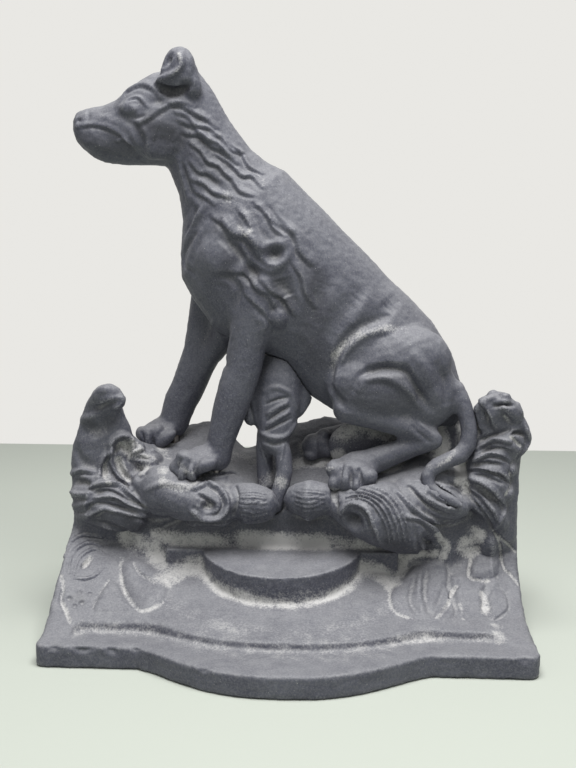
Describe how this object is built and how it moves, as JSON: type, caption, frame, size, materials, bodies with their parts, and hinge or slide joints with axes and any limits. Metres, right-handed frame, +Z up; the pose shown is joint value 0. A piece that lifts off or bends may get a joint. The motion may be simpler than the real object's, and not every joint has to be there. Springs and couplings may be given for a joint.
{
  "type": "doorstop",
  "caption": "Heavy figural doorstop: a seated hound bolted to a stepped, bow-fronted plinth with a scroll-and-leaf band; its flat underside rests on the floor.",
  "frame": {"origin": "on the floor, in the middle of the plinth's bounding box", "axes": "+X to the right as seen from the decorated front, +Y from the front to the back, +Z up"},
  "size_m": [0.28, 0.172, 0.3473],
  "materials": {
    "plinth_paint": "matt dark blue-grey paint over a cast skin, dust in the hollows",
    "hound_paint": "matt dark blue-grey paint over a cast skin, rubbed on the high spots",
    "sprig_paint": "matt dark blue-grey paint over a cast skin",
    "screw_steel": "dull, darkened steel",
    "bolt_steel": "dull, darkened steel",
    "washer_steel": "dull, darkened steel"
  },
  "bodies": {
    "root": {"base_casting": "plinth_paint", "hound_near_shell": "hound_paint", "hound_far_shell": "hound_paint", "belly_sprig": "sprig_paint", "shell_screw_neck": "screw_steel", "shell_screw_chest": "screw_steel", "shell_screw_haunch": "screw_steel", "paw_bolt_near_fore": "bolt_steel", "paw_washer_near_fore": "washer_steel", "paw_bolt_far_fore": "bolt_steel", "paw_washer_far_fore": "washer_steel", "paw_bolt_near_hind": "bolt_steel", "paw_washer_near_hind": "washer_steel", "paw_bolt_far_hind": "bolt_steel", "paw_washer_far_hind": "washer_steel", "sprig_bolt": "bolt_steel", "sprig_washer": "washer_steel"}
  },
  "joints": []
}
